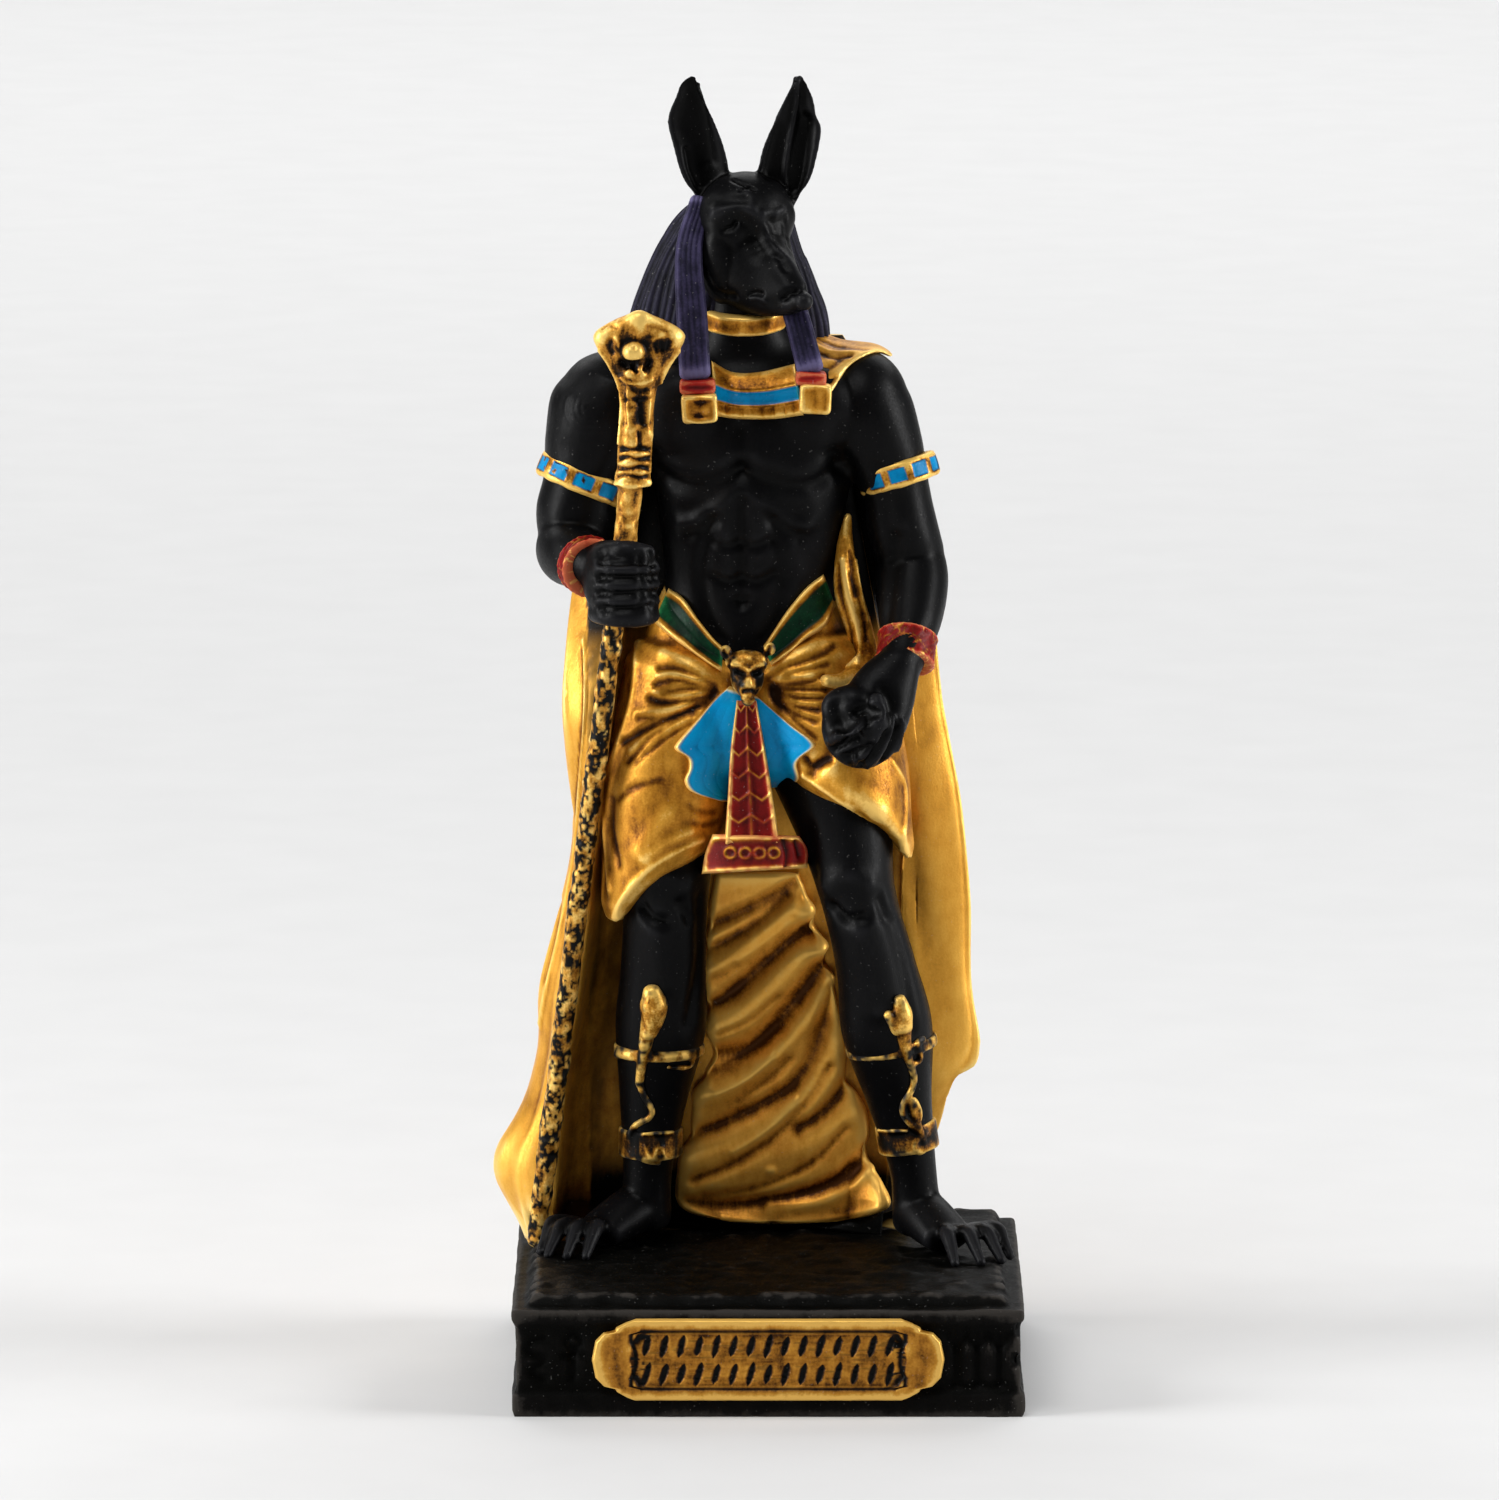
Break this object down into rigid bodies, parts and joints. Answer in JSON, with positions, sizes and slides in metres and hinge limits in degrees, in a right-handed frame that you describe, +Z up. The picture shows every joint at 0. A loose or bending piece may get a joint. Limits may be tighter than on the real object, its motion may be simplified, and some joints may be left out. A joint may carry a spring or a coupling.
{
  "type": "anubis statuette",
  "caption": "Miniature painted resin statuette: jackal-headed figure in a cloak and kilt, holding a cobra staff, on a square base with a nameplate.",
  "frame": {"origin": "middle of the base's underside", "axes": "+Z up from the base to the ears, -Y towards the viewer, the way the figure faces, +X to the viewer's right"},
  "size_m": [0.0363, 0.0309, 0.0885],
  "materials": {
    "painted_resin": "hand-painted resin: satin black skin, gold cloth and jewellery with dark washed recesses, blue, red and green inlays"
  },
  "bodies": {
    "root": {"anubis_statuette": "painted_resin"}
  },
  "joints": []
}
